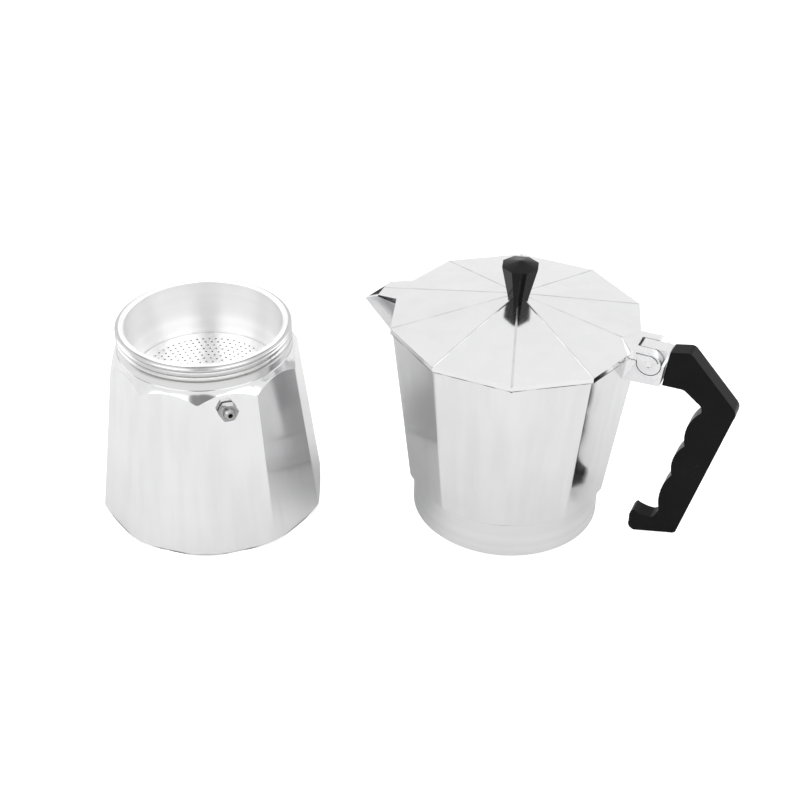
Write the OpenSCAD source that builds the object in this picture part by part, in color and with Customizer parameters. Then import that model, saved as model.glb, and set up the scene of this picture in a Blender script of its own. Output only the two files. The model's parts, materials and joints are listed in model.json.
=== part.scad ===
// Decagonal stovetop moka pot, unscrewed: boiler with its funnel, and jug with lid and handle.
// Millimetres, +Z up. The origin is the centre of the boiler's foot.

/* [Layout] */
// Distance from the boiler's axis to the jug's axis
jug_offset = 185.5; // [165:0.5:240]
// Direction in which the handle points
handle_azimuth = -21.6; // [-45:0.1:45]
// Direction in which the safety valve points
valve_azimuth = -68.3; // [-110:0.1:-50]

/* [Boiler] */
// Height of the boiler to its rim
boiler_height = 123.4; // [112:0.1:150]
// Corner radius of the boiler at its foot
boiler_foot_corner = 70.7; // [66:0.1:76]
// Width of the shoulder, from the thread to the corners
shoulder_width = 5.1; // [3.4:0.1:9]
// Height of the turned shoulder
shoulder_height = 7.3; // [5:0.1:12]
// Height of the neck above the shoulder
neck_height = 14.4; // [13.5:0.1:16]
// Width of the chamfer between the corners and the turned foot
foot_turn = 3.1; // [2:0.1:6]
// Wall of the boiler
boiler_wall = 4.2; // [2.5:0.1:5.5]
// Thickness of the boiler's floor
boiler_floor = 5; // [3:0.1:8]
// Outer radius of the screw thread on the neck
thread_radius = 52.4; // [51.6:0.1:52.6]
// Depth of the screw thread
thread_depth = 1.1; // [0.6:0.1:1.4]
// Pitch of the screw thread
thread_pitch = 3.3; // [2.5:0.1:3.6]
// Number of turns of the screw thread
thread_turns = 3; // [2:1:3]
// Wall of the neck, thread included
neck_wall = 3.8; // [3.2:0.1:5]

/* [Funnel] */
// Gap between the coffee basket and the neck
basket_gap = 0.7; // [0.3:0.1:2]
// Depth of the coffee basket below the rim
basket_depth = 36; // [28:0.5:40]
// Sheet thickness of the funnel
funnel_sheet = 0.9; // [0.6:0.1:1.4]
// Width of the funnel's flange that lies on the rim
flange_lap = 1.6; // [1:0.1:2.6]
// Outer radius of the funnel's stem
stem_radius = 6; // [4.5:0.1:8]
// Gap between the stem's end and the boiler's floor
stem_gap = 4; // [2:0.5:8]
// Spacing of the holes in the basket's floor
sieve_pitch = 3.75; // [3.2:0.05:6]
// Plain border round the holes in the basket's floor
sieve_border = 7.2; // [3:0.1:20]
// Radius of each hole in the basket's floor
sieve_hole = 0.7; // [0.4:0.05:1.2]

/* [Safety valve] */
// Depth of the valve below the rim
valve_drop = 27; // [26:0.1:40]
// Sideways shift of the valve from the middle of its side
valve_shift = -0.6; // [-4:0.1:4]
// Size of the valve's hexagon across its flats
valve_hex = 10.4; // [9.6:0.1:14]
// Radius of the valve's threaded stem
valve_stem = 3.9; // [3.6:0.1:4.5]
// Radius of the valve's push rod
poppet_rod = 0.9; // [0.6:0.05:1]
// Travel of the push rod
poppet_travel = 1.2; // [0.6:0.1:1.6]

/* [Jug] */
// Height of the jug's body to its rim
jug_height = 131.4; // [120:0.1:160]
// Corner radius of the jug at its rim
jug_rim_corner = 74.6; // [70:0.1:82]
// Step from the collar out to the jug's corners
collar_step = 4.4; // [3:0.1:8]
// Wall of the jug
jug_wall = 2.8; // [2:0.1:4]
// Wall of the turned collar outside the thread
collar_wall = 5.4; // [4:0.1:7]
// Height of the turned collar
collar_height = 23.3; // [22:0.1:30]
// Depth of the threaded socket up to the gasket
socket_depth = 19; // [14:0.1:19.5]
// Length of the spout in front of the lid's edge
spout_reach = 21.8; // [14:0.1:28]
// Width of the spout at its root
spout_width = 24.6; // [16:0.1:28]
// Height of the riser column above the jug's floor
riser_height = 68; // [40:1:84]
// Outer radius of the riser column at its foot
riser_radius = 9; // [7.5:0.1:11]

/* [Lid] */
// Overhang of the lid past the jug's corners
lid_overhang = 1.4; // [0.6:0.1:4]
// Height of the lid's apex above its edge
lid_rise = 15.4; // [8:0.1:24]
// Depth of the lid's upright edge
lid_edge = 3.4; // [2.4:0.1:4.5]
// Thickness of the lid's plate
lid_plate = 2; // [1.4:0.1:2.4]
// Height of the knob
knob_height = 22.7; // [16:0.1:30]
// Width of the knob across its flats at the top
knob_width = 20.6; // [16:0.1:24]
// Width of the knob across its flats at the foot
knob_foot = 12.2; // [10.5:0.1:15]

/* [Hinge and handle] */
// Distance from the lid's corner to the hinge pin
hinge_stand = 7.4; // [7.2:0.1:12]
// Height of the hinge pin below the top of the jug's body
hinge_drop = 0.7; // [0.5:0.1:1.5]
// Radius of the hinge pin
hinge_pin_radius = 2; // [1.5:0.05:2.4]
// Radius of the knuckles round the hinge pin
knuckle_radius = 6.9; // [5.5:0.1:7.4]
// Overall width of the hinge
lug_width = 22.6; // [18:0.1:26]
// Width of the web between the lid's two arms
web_width = 9.4; // [7:0.1:11]
// Height of the handle's lowest point above the table
handle_foot = 7.1; // [2:0.1:30]
// Thickness of the handle
handle_thickness = 10.4; // [8:0.1:16]
// Radius of the pin that holds the handle
handle_pin_radius = 1.6; // [1.2:0.05:2]
// Thickness of the handle's tongue
tongue_thickness = 5.6; // [4:0.1:6.4]

/* [Clearances] */
// Radial clearance of a pin that turns or slides
running_gap = 0.05; // [0.02:0.01:0.1]
// Gap between parts that are fitted by hand
loose_gap = 0.15; // [0.1:0.01:0.3]

/* [Hidden] */
$fn = 96;
sides = 10;
sector = 360 / sides;
flat_share = cos(sector / 2);
bite = 0.5;
far = 400;

// Boiler
neck_z = boiler_height - neck_height;
boiler_shoulder_z = neck_z - shoulder_height;
boiler_shoulder_corner = thread_radius + shoulder_width;
boiler_slope = (boiler_shoulder_corner - boiler_foot_corner) / boiler_shoulder_z;
boiler_foot_radius = boiler_foot_corner - foot_turn;
thread_root = thread_radius - thread_depth;
neck_bore = thread_radius - neck_wall;
shoulder_blend = thread_radius + 0.4;
groove_top = boiler_height - 1.9;
groove_half = 1.1;
groove_floor = 0.3;
foot_chamfer = 3.2;
cavity_top_z = boiler_height - basket_depth - 6;
cavity_neck = neck_bore + 1.4;

// Funnel
basket_radius = neck_bore - basket_gap;
funnel_flange = neck_bore + flange_lap;
basket_floor_z = boiler_height - basket_depth;
basket_taper = 2;
basket_low = basket_radius - basket_taper;
flange_thickness = 1.2;
cone_drop = 12;
sieve_radius = basket_low - funnel_sheet;
sieve_thickness = 0.9;
sieve_rings = floor((sieve_radius - sieve_border) / sieve_pitch);
stem_wall = 1;
stem_low_z = boiler_floor + stem_gap;
ledge = 2;

// Safety valve
valve_z = boiler_height - valve_drop;
valve_corner = boiler_foot_corner + boiler_slope * valve_z;
valve_facet = valve_corner * flat_share;
valve_tilt = atan(-boiler_slope * flat_share);
valve_pad = valve_facet - cavity_neck;
valve_stem_length = valve_pad - 0.6;
washer_thickness = 1;
hex_height = 3.9;
nose_height = 3.4;
valve_top = washer_thickness + hex_height + nose_height;
chamber_radius = valve_stem - 1.3;
nose_wall = 1.6;
nose_radius = valve_stem - 0.4;
vent_radius = poppet_rod + 0.5;
seat_thickness = 1.4;
poppet_head = 1.2;
rod_sink = 3.2;
poppet_head_radius = chamber_radius - 0.4;
spring_wire = 0.3;
spring_coil = poppet_head_radius - 0.5;
spring_turns = 6;
spring_foot = -valve_stem_length + seat_thickness + poppet_head;
spring_top = valve_top - nose_wall;

// Jug
collar_radius = thread_radius + collar_wall;
jug_low_corner = collar_radius + collar_step;
jug_slope = (jug_rim_corner - jug_low_corner) / (jug_height - collar_height);
collar_flare = jug_low_corner - collar_radius + 0.4;
socket_bore = thread_root + 0.8;
socket_groove = thread_radius + 0.7;
gasket_thickness = 2.4;
gasket_inner = neck_bore - 4.6;
filter_radius = gasket_inner + 2;
filter_recess = filter_radius + 0.6;
filter_thickness = 0.8;
filter_pitch = 4.6;
filter_rings = floor((gasket_inner - 6) / filter_pitch);
filter_room = 3;
jug_ceiling = socket_depth + gasket_thickness + filter_thickness;
jug_floor_top = jug_ceiling + filter_room + 3.4;
riser_bore = 4.2;
riser_tip = riser_radius - 2;
riser_sink = 3.4;
riser_window = 5;
spout_tip_drop = 8.3;
spout_root_z = 86;
spout_wall = 1.8;
spout_mid_share = 0.48;
spout_mid_drop = 0;

// Lid
lid_corner = jug_rim_corner + lid_overhang;
lid_foot_z = jug_height + loose_gap;
lid_edge_z = lid_foot_z + lid_edge;
lid_apex_z = lid_edge_z + lid_rise;
lid_slope = lid_rise / lid_corner;
hollow_corner = jug_rim_corner - jug_wall - 3;
lid_boss = 2.4;
knob_washer_thickness = 0.8;
cover_reach = 9.7;
cover_half = 8.8;
cover_foot_z = jug_height + loose_gap;
knob_seat_z = lid_apex_z - 1.1;
knob_cap = 3;
screw_radius = 2;
screw_head = 4;
screw_length = 12;
knob_washer_radius = 5.5;

// Hinge and handle
hinge_reach = lid_corner + hinge_stand;
hinge_z = jug_height - hinge_drop;
arm_top_z = hinge_z + knuckle_radius;
arm_low_z = hinge_z + 0.9;
web_gap = 0.4;
arm_width = (lug_width - web_width) / 2 - web_gap;
recess_gap = 0.5;
recess_radius = knuckle_radius + recess_gap;
lug_low_z = hinge_z - 13;
lug_root = jug_rim_corner - 14.6;
lug_end_low = hinge_reach + 7.6;
lug_end_high = hinge_reach + 10;
pad_inner = lid_corner - 12.5;
pad_outer = lid_corner - 3.7;
web_nose = 9.8;
slot_gap = 0.5;
groove_inset = 1.4;
groove_depth = 1.8;
groove_half_width = 0.4;
handle_pin_x = hinge_reach + 4.5;
handle_pin_z = hinge_z - 8.2;
tongue_inner = hinge_reach + 0.8;
tongue_low = hinge_z - 12;
tongue_high = hinge_z - 4.4;
tongue_end = lug_end_low + 3;
elbow_drop = 27.4;
handle_drawn = 123.6;
handle_stretch = (hinge_z - handle_foot - elbow_drop) / (handle_drawn - elbow_drop);

// A frustum with ten flat sides, one corner on the X axis
module decagon(low_corner, high_corner, height) {
    low = low_corner * flat_share;
    tilt = atan((high_corner - low_corner) * flat_share / height);
    intersection() {
        translate([-far / 2, -far / 2, 0]) cube([far, far, height]);
        intersection_for (i = [0 : sides - 1])
            rotate([0, 0, (i + 0.5) * sector])
                translate([low, 0, 0])
                    rotate([0, tilt, 0])
                        translate([-far, -far / 2, -far]) cube([far, far, 2 * far]);
    }
}

// A turned solid from points of radius and height
module turned(points) {
    rotate_extrude($fn = 144) polygon(points);
}

// A flat plate in the hinge's side view, centred across its width
module side_plate(width, points) {
    rotate([90, 0, 0]) linear_extrude(height = width, center = true) polygon(points);
}

// A round bar across the hinge
module cross_bar(x, z, radius, width) {
    translate([x, 0, z]) rotate([90, 0, 0]) cylinder(r = radius, h = width, center = true);
}

// Rings of small holes through a plate, as a flat pattern
module hole_rings(first, last, pitch, hole) {
    for (k = [first : last])
        for (i = [0 : 6 * k - 1])
            rotate([0, 0, i * 60 / k]) translate([k * pitch, 0]) circle(r = hole, $fn = 6);
}

// Points of an arc from one point to another, bulging to the left by the given height
function bulge(from, to, height, steps) =
    let (
        chord = to - from,
        half = norm(chord) / 2,
        radius = (half * half + height * height) / (2 * height),
        middle = (from + to) / 2,
        across = [-chord[1], chord[0]] / norm(chord),
        centre = middle - across * (radius - height),
        start = atan2(from[1] - centre[1], from[0] - centre[0]),
        sweep = -2 * asin(half / radius)
    )
    [for (i = [1 : steps])
        centre + abs(radius) * [cos(start + sweep * i / steps), sin(start + sweep * i / steps)]];

module at_valve() {
    rotate([0, 0, valve_azimuth])
        translate([valve_facet, valve_shift, valve_z])
            rotate([0, 90 - valve_tilt, 0]) children();
}

module at_jug() {
    translate([jug_offset, 0, 0]) rotate([0, 0, handle_azimuth]) children();
}

module boiler_envelope() {
    turned([
        [0, 0],
        [boiler_foot_radius, 0],
        [boiler_foot_radius + foot_chamfer, foot_chamfer],
        [boiler_foot_radius + 2 * foot_chamfer, 4 * foot_chamfer],
        [boiler_foot_radius + 2 * foot_chamfer, boiler_shoulder_z - 12],
        [boiler_shoulder_corner + 12, boiler_shoulder_z - 12 * 0.95],
        [boiler_shoulder_corner, boiler_shoulder_z],
        [shoulder_blend + 0.9, neck_z - 2.3],
        [shoulder_blend, neck_z],
        [0, neck_z]
    ]);
}

module neck() {
    difference() {
        turned([[0, neck_z - 1], [thread_radius, neck_z - 1], [thread_radius, boiler_height - 0.5],
                [thread_radius - 0.5, boiler_height], [0, boiler_height]]);
        for (i = [0 : thread_turns - 1])
            translate([0, 0, groove_top - i * thread_pitch])
                turned([[thread_root, -groove_floor], [thread_radius, -groove_half],
                        [thread_radius + bite, -groove_half], [thread_radius + bite, groove_half],
                        [thread_radius, groove_half], [thread_root, groove_floor]]);
    }
}

module boiler() color("gainsboro") {
    inner_foot = boiler_foot_corner * flat_share - boiler_wall;
    difference() {
        union() {
            intersection() {
                rotate([0, 0, valve_azimuth + sector / 2])
                    decagon(boiler_foot_corner, boiler_foot_corner + boiler_slope * neck_z, neck_z);
                boiler_envelope();
            }
            neck();
        }
        turned([
            [0, boiler_floor],
            [inner_foot - 6, boiler_floor],
            [inner_foot, boiler_floor + 6],
            [cavity_neck, cavity_top_z],
            [cavity_neck, neck_z - 2],
            [neck_bore, neck_z + 2],
            [neck_bore, boiler_height + bite],
            [0, boiler_height + bite]
        ]);
        at_valve() cylinder(r = valve_stem + running_gap, h = 40, center = true);
    }
}

module funnel_basket() color("silver") {
    top = boiler_height + flange_thickness;
    cone_low = basket_floor_z - cone_drop;
    sleeve = stem_radius + running_gap;
    turned([
        [sleeve, cone_low],
        [sleeve + funnel_sheet, cone_low],
        [sleeve + funnel_sheet, cone_low + 1],
        [basket_low - 3, basket_floor_z - 2.4],
        [basket_low, basket_floor_z],
        [basket_radius, boiler_height],
        [funnel_flange - 0.4, boiler_height],
        [funnel_flange, boiler_height + 0.4],
        [funnel_flange, top - 0.4],
        [funnel_flange - 0.4, top],
        [basket_radius, top],
        [basket_radius - funnel_sheet, top - 0.9],
        [basket_low - funnel_sheet, basket_floor_z],
        [sieve_radius - ledge, basket_floor_z - 1.2],
        [sieve_radius - ledge - 1, basket_floor_z - 1.9],
        [sleeve + funnel_sheet, cone_low + 2.2],
        [sleeve, cone_low + 2.2]
    ]);
}

module basket_sieve() color("gainsboro") {
    translate([0, 0, basket_floor_z])
        linear_extrude(height = sieve_thickness)
            difference() {
                circle(r = sieve_radius - loose_gap);
                hole_rings(1, sieve_rings, sieve_pitch, sieve_hole);
            }
}

module funnel_stem() color("silver") {
    top = basket_floor_z - cone_drop + 2.2;
    turned([
        [stem_radius - stem_wall, stem_low_z],
        [stem_radius, stem_low_z],
        [stem_radius, top + 0.2],
        [stem_radius + 1.2, top + 0.2],
        [stem_radius + 1.2, top + 1],
        [stem_radius - stem_wall, top + 1]
    ]);
}

module valve_washer() color("dimgray") at_valve() {
    difference() {
        cylinder(r = valve_hex / 2 - 0.2, h = washer_thickness);
        translate([0, 0, -bite]) cylinder(r = valve_stem + running_gap, h = washer_thickness + 2 * bite);
    }
}

module valve_body() color("darkgray") at_valve() {
    hex_top = washer_thickness + hex_height;
    difference() {
        union() {
            translate([0, 0, -valve_stem_length]) cylinder(r = valve_stem, h = valve_stem_length + 2);
            intersection() {
                translate([0, 0, washer_thickness])
                    rotate([0, 0, 30]) cylinder(r = valve_hex / 2 / cos(30), h = hex_height, $fn = 6);
                turned([[0, 0], [valve_hex / 2, 0], [valve_hex / 2 + 0.2, washer_thickness],
                        [valve_hex / 2 + 1.2, washer_thickness + 0.8], [valve_hex / 2 + 1.2, hex_top - 0.8],
                        [valve_hex / 2 - 0.4, hex_top], [0, hex_top]]);
            }
            turned([[0, hex_top - 1], [nose_radius, hex_top - 1],
                    [nose_radius, hex_top + nose_height * 0.4],
                    [nose_radius - 0.3, hex_top + nose_height * 0.75],
                    [nose_radius - 1, valve_top], [0, valve_top]]);
        }
        turned([[0, -valve_stem_length - bite], [chamber_radius, -valve_stem_length - bite],
                [chamber_radius, spring_top], [0, spring_top]]);
        cylinder(r = vent_radius, h = valve_top + bite);
    }
}

module valve_seat() color("goldenrod") at_valve() {
    translate([0, 0, -valve_stem_length])
        difference() {
            cylinder(r = chamber_radius, h = seat_thickness);
            translate([0, 0, -bite]) cylinder(r = 1.1, h = seat_thickness + 2 * bite);
        }
}

module valve_poppet() color("goldenrod") at_valve() {
    foot = -valve_stem_length + seat_thickness;
    translate([0, 0, foot]) cylinder(r = poppet_head_radius, h = poppet_head);
    translate([0, 0, foot]) cylinder(r = poppet_rod, h = valve_top - rod_sink - poppet_travel - foot);
}

// Wire swept along a coil, as rings of points joined in order
module coil(radius, wire, low, high, turns) {
    per_turn = 18;
    round = 6;
    rings = turns * per_turn;
    points = [for (i = [0 : rings]) for (k = [0 : round - 1])
        let (t = i * 360 / per_turn, a = k * 360 / round, r = radius + wire * cos(a))
            [r * cos(t), r * sin(t), low + (high - low) * i / rings + wire * sin(a)]];
    walls = [for (i = [0 : rings - 1]) for (k = [0 : round - 1])
        let (n = (k + 1) % round)
            [i * round + k, i * round + n, (i + 1) * round + n, (i + 1) * round + k]];
    ends = [[for (k = [round - 1 : -1 : 0]) k], [for (k = [0 : round - 1]) rings * round + k]];
    polyhedron(points = points, faces = concat(walls, ends));
}

module valve_spring() color("silver") at_valve() {
    coil(spring_coil, spring_wire, spring_foot + spring_wire, spring_top - spring_wire, spring_turns);
}

// The spout's outer form, or its hollow when a wall is given
module spout_form(wall) {
    rim_reach = lid_corner * flat_share;
    root = rim_reach - 12;
    half = spout_width / 2 - wall;
    mid = lid_corner + spout_reach * spout_mid_share - wall * 0.7;
    tip = lid_corner + spout_reach - wall * 1.6;
    top = wall > 0 ? 20 : 0;
    rim = jug_height;
    module post(x, y, low, high) translate([-x, y - 0.05, low]) cube([0.1, 0.1, high - low]);
    hull() {
        for (s = [-1, 1]) {
            post(root, s * half, rim - 11, rim + top);
            post(rim_reach, s * half, rim - 9, rim + top);
            post(mid, s * (cover_half - wall), rim - 3, rim - spout_mid_drop + top);
            post(tip, s * 0.5, rim - spout_tip_drop - 0.4 + wall * 0.7, rim - spout_tip_drop + top);
        }
        post(lid_corner + spout_reach * 0.82 - wall, 0, rim - 10.6 + wall, rim - 10);
        post(lid_corner + spout_reach * 0.64 - wall, 0, rim - 14.6 + wall, rim - 14);
        post(root, 0, spout_root_z - 4 + wall * 2, rim);
    }
}

module jug_envelope() {
    turned([
        [0, 0],
        [collar_radius - 0.6, 0],
        [collar_radius, 0.6],
        [collar_radius, collar_height],
        [collar_radius + collar_flare, collar_height + collar_flare],
        [jug_rim_corner + 8, collar_height + collar_flare + 16],
        [jug_rim_corner + 8, jug_height],
        [0, jug_height]
    ]);
}

module jug_outside() {
    low_corner = jug_low_corner - jug_slope * collar_flare;
    intersection() {
        union() {
            translate([0, 0, collar_height - 1])
                decagon(low_corner - jug_slope, jug_rim_corner, jug_height - collar_height + 1);
            turned([[0, 0], [collar_radius, 0], [collar_radius, collar_height], [0, collar_height]]);
        }
        jug_envelope();
    }
}

module hinge_lug() {
    side_plate(lug_width, [
        [lug_root, lug_low_z - 1.4], [lug_end_low, lug_low_z], [lug_end_low + 1.4, hinge_z + 0.6],
        [hinge_reach, hinge_z + 0.6], [lug_root, hinge_z + 0.6]
    ]);
    intersection() {
        side_plate(web_width, [
            [lug_root, lug_low_z], [lug_end_low, lug_low_z],
            [lug_end_high, arm_top_z], [lug_root, arm_top_z]
        ]);
        union() {
            cross_bar(hinge_reach, hinge_z, web_nose, lug_width);
            translate([hinge_reach, -lug_width, lug_low_z]) cube([30, 2 * lug_width, 40]);
        }
    }
}

module jug() color("gainsboro") at_jug() {
    inner_low = (jug_low_corner + jug_slope * (jug_floor_top - collar_height)) - jug_wall / flat_share;
    inner_high = jug_rim_corner - jug_wall / flat_share + jug_slope;
    difference() {
        union() {
            jug_outside();
            spout_form(0);
            hinge_lug();
        }
        // Inside of the jug
        intersection() {
            translate([0, 0, jug_floor_top])
                decagon(inner_low, inner_high, jug_height - jug_floor_top + 10);
            turned([[0, jug_floor_top], [inner_low - 12, jug_floor_top],
                    [inner_low + 2, jug_floor_top + 12],
                    [far / 4, jug_floor_top + 60], [far / 4, far / 2], [0, far / 2]]);
        }
        intersection() {
            spout_form(spout_wall);
            translate([-far, -far / 2, 0]) cube([far - 50, far, far]);
        }
        // Socket for the boiler's neck, with room for gasket and filter
        turned([
            [0, -bite],
            [socket_groove, -bite],
            [socket_groove, 1.6],
            [socket_bore, 2.6],
            [socket_bore, socket_depth - 1.4],
            [socket_groove, socket_depth - 0.6],
            [socket_groove, socket_depth + gasket_thickness],
            [filter_recess, socket_depth + gasket_thickness],
            [filter_recess, jug_ceiling],
            [gasket_inner, jug_ceiling],
            [gasket_inner - 4, jug_ceiling + filter_room],
            [0, jug_ceiling + filter_room]
        ]);
        for (z = [4 : thread_pitch : socket_depth - 3])
            translate([0, 0, z])
                turned([[socket_bore - 1, -1.5], [socket_bore, -1.2], [socket_groove, -0.4],
                        [socket_groove, 0.4], [socket_bore, 1.2], [socket_bore - 1, 1.5]]);
        translate([0, 0, jug_ceiling]) cylinder(r = riser_radius - riser_sink + 1.6, h = 20);
        // Hinge: recesses for the lid's arms, and the pin's hole
        for (s = [-1, 1])
            translate([0, s * (web_width / 2 + lug_width / 2), 0])
                cross_bar(hinge_reach, hinge_z, recess_radius, lug_width);
        cross_bar(hinge_reach, hinge_z, hinge_pin_radius, 2 * lug_width);
        // Slot and pin hole for the handle's tongue
        translate([tongue_inner - loose_gap, -tongue_thickness / 2 - loose_gap, tongue_low - loose_gap])
            cube([tongue_end - tongue_inner, tongue_thickness + 2 * loose_gap,
                  tongue_high - tongue_low + 2 * loose_gap]);
        cross_bar(handle_pin_x, handle_pin_z, handle_pin_radius, 2 * lug_width);
    }
}

module riser_column() color("silver") at_jug() {
    foot = jug_floor_top;
    top = foot + riser_height;
    plug = riser_radius - riser_sink + 1.6 - running_gap;
    difference() {
        turned([
            [0, jug_ceiling + filter_room], [plug, jug_ceiling + filter_room], [plug, foot],
            [riser_radius + 3, foot], [riser_radius + 3, foot + 1.2], [riser_radius, foot + 4],
            [riser_tip, top - 3], [riser_tip - 1.5, top - 0.8], [riser_tip - 4, top], [0, top]
        ]);
        translate([0, 0, jug_ceiling]) cylinder(r = riser_bore, h = top - jug_ceiling - 3);
        for (s = [0, 180])
            rotate([0, 0, s + 90])
                translate([0, -1.6, top - 3 - riser_window]) cube([20, 3.2, riser_window]);
    }
}

module gasket() color("white") at_jug() {
    outer = socket_groove;
    turned([
        [gasket_inner, socket_depth], [outer - 0.6, socket_depth], [outer, socket_depth + 0.6],
        [outer, socket_depth + gasket_thickness], [gasket_inner, socket_depth + gasket_thickness]
    ]);
}

module filter_plate() color("silver") at_jug() {
    translate([0, 0, socket_depth + gasket_thickness])
        linear_extrude(height = filter_thickness)
            difference() {
                circle(r = filter_radius);
                hole_rings(1, filter_rings, filter_pitch, sieve_hole);
            }
}

module lid_arm(side) {
    translate([0, side * (web_width / 2 + web_gap + arm_width / 2), 0]) {
        side_plate(arm_width, [
            [pad_outer, lid_foot_z], [lid_corner - 1, lid_foot_z], [lid_corner - 0.4, arm_low_z],
            [hinge_reach, arm_low_z], [hinge_reach, arm_top_z], [pad_outer, arm_top_z]
        ]);
        cross_bar(hinge_reach, hinge_z, knuckle_radius, arm_width);
    }
}

// Shallow groove that follows the top of each arm and curves down round the knuckle
module arm_groove(side) {
    radius = knuckle_radius - groove_inset;
    translate([0, side * (lug_width / 2 - groove_depth / 2), 0])
        side_plate(groove_depth + bite, concat(
            [[lid_corner - 0.6, hinge_z + radius + groove_half_width]],
            [for (i = [0 : 8]) let (a = 90 - i * 9)
                [hinge_reach, hinge_z] + (radius + groove_half_width) * [cos(a), sin(a)]],
            [for (i = [8 : -1 : 0]) let (a = 90 - i * 9)
                [hinge_reach, hinge_z] + (radius - groove_half_width) * [cos(a), sin(a)]],
            [[lid_corner - 0.6, hinge_z + radius - groove_half_width]]
        ));
}

// Cover over the spout, in one plane with the lid's sides
module spout_cover() {
    tip = lid_corner + cover_reach;
    root = lid_corner * flat_share;
    difference() {
        intersection() {
            translate([0, 0, cover_foot_z])
                decagon((lid_apex_z - cover_foot_z) / lid_slope, 0.2, lid_apex_z - cover_foot_z);
            translate([0, 0, cover_foot_z])
                linear_extrude(height = lid_rise)
                    polygon([[-tip, -cover_half], [-tip, cover_half], [-root, spout_width / 2],
                             [-root, -spout_width / 2]]);
        }
        translate([-lid_corner, -spout_width, cover_foot_z - bite])
            cube([lid_corner, 2 * spout_width, lid_foot_z - cover_foot_z + bite]);
    }
}

module lid() color("whitesmoke") at_jug() {
    difference() {
        union() {
            translate([0, 0, lid_foot_z]) decagon(lid_corner, lid_corner, lid_edge);
            translate([0, 0, lid_edge_z]) decagon(lid_corner, 0.2, lid_rise);
            spout_cover();
            // Hinge pad that carries the arms, pointed towards the knob
            translate([0, 0, lid_foot_z])
                linear_extrude(height = arm_top_z - lid_foot_z)
                    polygon([[pad_inner, 0],
                             [pad_outer, -lug_width / 2], [lid_corner - 1.4, -lug_width / 2],
                             [lid_corner - 1.4, lug_width / 2], [pad_outer, lug_width / 2]]);
            for (s = [-1, 1]) lid_arm(s);
        }
        // Hollow underside
        translate([0, 0, lid_foot_z - bite])
            decagon(hollow_corner, hollow_corner, lid_edge - lid_plate + bite);
        translate([0, 0, lid_edge_z - lid_plate])
            decagon(hollow_corner, 3, lid_rise * 0.92);
        // Room for the web between the arms
        translate([hinge_reach, -web_width / 2 - web_gap, lid_foot_z - 10])
            cube([40, web_width + 2 * web_gap, 40]);
        cross_bar(hinge_reach, hinge_z, web_nose + slot_gap, web_width + 2 * web_gap);
        // Seat for the knob and its screw
        translate([0, 0, knob_seat_z]) cylinder(r = knob_foot, h = 10);
        translate([0, 0, lid_foot_z]) cylinder(r = screw_radius + loose_gap, h = 40);
        translate([0, 0, lid_foot_z - 1])
            cylinder(r = knob_washer_radius + 1, h = knob_seat_z - lid_boss - lid_foot_z + 1);
        cross_bar(hinge_reach, hinge_z, hinge_pin_radius + running_gap, 2 * lug_width);
        for (s = [-1, 1]) arm_groove(s);
    }
}

module hinge_pin() color("silver") at_jug() {
    cross_bar(hinge_reach, hinge_z, hinge_pin_radius, lug_width);
}

module handle_pin() color("silver") at_jug() {
    cross_bar(handle_pin_x, handle_pin_z, handle_pin_radius, lug_width);
}

// A thin eight-sided disc of the given width across its flats
module knob_ring(width, z) {
    translate([0, 0, z]) rotate([0, 0, 22.5]) cylinder(r = width / 2 / cos(22.5), h = 0.1, $fn = 8);
}

module lid_knob() color([0.08, 0.08, 0.08]) at_jug() {
    waist = knob_seat_z + knob_height - knob_cap;
    rotate([0, 0, -handle_azimuth - 5.2])
        difference() {
            hull() {
                knob_ring(knob_foot, knob_seat_z);
                knob_ring(knob_width, waist);
                knob_ring(1, knob_seat_z + knob_height - 0.1);
            }
            translate([0, 0, knob_seat_z - bite]) cylinder(r = screw_radius, h = screw_length + bite);
        }
}

module knob_screw() color("silver") at_jug() {
    under = knob_seat_z - lid_boss - knob_washer_thickness;
    translate([0, 0, under]) cylinder(r = screw_radius, h = screw_length + knob_seat_z - under - 1);
    turned([[0, under - 2.2], [screw_head - 1.4, under - 2.2], [screw_head, under - 0.8],
            [screw_head, under], [0, under]]);
}

module knob_washer() color("silver") at_jug() {
    under = knob_seat_z - lid_boss - knob_washer_thickness;
    translate([0, 0, under])
        difference() {
            cylinder(r = knob_washer_radius, h = knob_washer_thickness);
            translate([0, 0, -bite])
                cylinder(r = screw_radius + running_gap, h = knob_washer_thickness + 2 * bite);
        }
}

// A point of the handle's outline, from its distance past the hinge pin and its depth below it.
// Below the elbow the depth stretches with the room above the table.
function grip_point(out, depth) =
    [hinge_reach + out,
     hinge_z - (depth <= elbow_drop ? depth : elbow_drop + (depth - elbow_drop) * handle_stretch)];

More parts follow.
